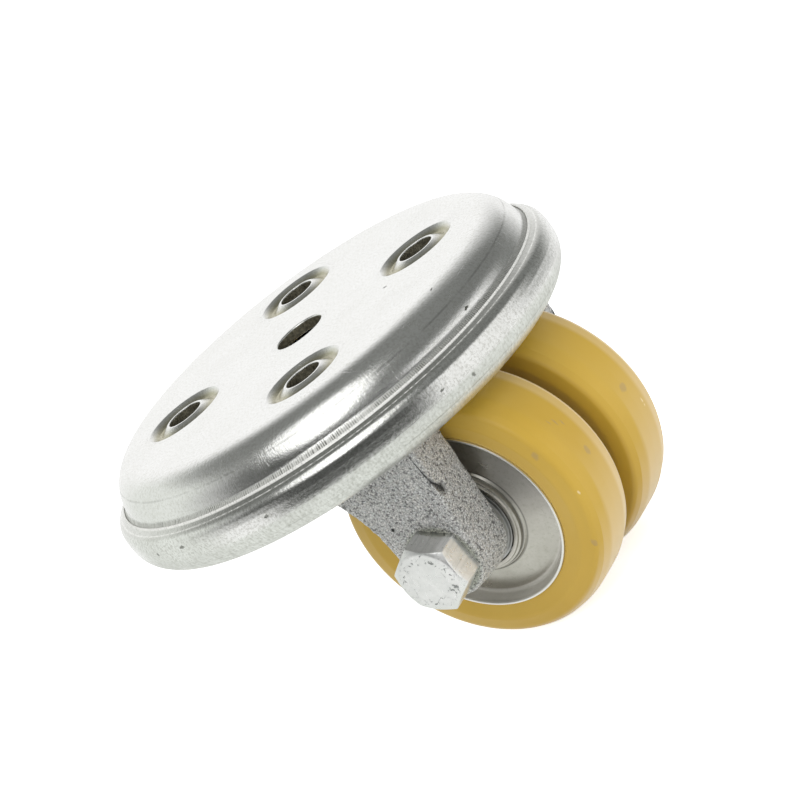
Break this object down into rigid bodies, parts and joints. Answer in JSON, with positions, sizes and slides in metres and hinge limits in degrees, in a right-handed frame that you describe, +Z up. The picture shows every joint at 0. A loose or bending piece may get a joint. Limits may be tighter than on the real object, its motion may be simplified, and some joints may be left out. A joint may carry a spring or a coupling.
{
  "type": "swivel caster",
  "caption": "Low swivel caster: round pressed steel head plate with raised bolt collars, crimped retaining ring, cast fork, and polyurethane-tyred wheels side by side on a bolted axle.",
  "frame": {"origin": "centre of the head plate's flat mounting face, on the swivel axis", "axes": "+Z up out of the mounting face along the swivel axis, Y along the axle, +X the way the wheels trail"},
  "size_m": [0.185, 0.185, 0.1265],
  "materials": {
    "zinc_plate": "bright zinc plating on pressed steel, with fine drawing marks",
    "zinc_casting": "rough cast skin under zinc plating",
    "zinc_fastener": "zinc plated",
    "hub_metal": "turned, satin",
    "bearing_steel": "ground",
    "spacer_steel": "turned",
    "shield_steel": "pressed sheet, satin",
    "nylon": "moulded",
    "polyurethane": "cast polyurethane, satin"
  },
  "bodies": {
    "head": {"top_plate": "zinc_plate", "retaining_ring": "zinc_plate"},
    "swivel_balls": {"upper_balls": "bearing_steel", "lower_balls": "bearing_steel"},
    "swivel_fork": {"fork": "zinc_casting", "axle_bolt": "zinc_fastener", "axle_nut": "zinc_fastener", "nut_insert": "nylon", "nut_washer": "zinc_fastener", "centre_spacer": "spacer_steel", "left_arm_spacer": "spacer_steel", "right_arm_spacer": "spacer_steel", "left_bearing_spacer": "spacer_steel", "right_bearing_spacer": "spacer_steel", "left_inner_rings": "bearing_steel", "right_inner_rings": "bearing_steel"},
    "left_wheel": {"left_hub": "hub_metal", "left_tread": "polyurethane", "left_outer_rings": "bearing_steel", "left_bearing_shields": "shield_steel"},
    "right_wheel": {"right_hub": "hub_metal", "right_tread": "polyurethane", "right_outer_rings": "bearing_steel", "right_bearing_shields": "shield_steel"}
  },
  "joints": [
    {"name": "swivel", "type": "hinge", "parent": "head", "child": "swivel_fork", "pos_m": [0, 0, 0], "axis": [0, 0, 1], "continuous": true},
    {"name": "ball_orbit", "type": "hinge", "parent": "head", "child": "swivel_balls", "pos_m": [0, 0, 0], "axis": [0, 0, 1], "continuous": true},
    {"name": "left_spin", "type": "hinge", "parent": "swivel_fork", "child": "left_wheel", "pos_m": [0.0371, -0.0183, -0.077], "axis": [0, 1, 0], "continuous": true},
    {"name": "right_spin", "type": "hinge", "parent": "swivel_fork", "child": "right_wheel", "pos_m": [0.0371, 0.0183, -0.077], "axis": [0, 1, 0], "continuous": true}
  ],
  "couplings": [
    {"joint": "ball_orbit", "follows": "swivel", "ratio": 0.5}
  ]
}
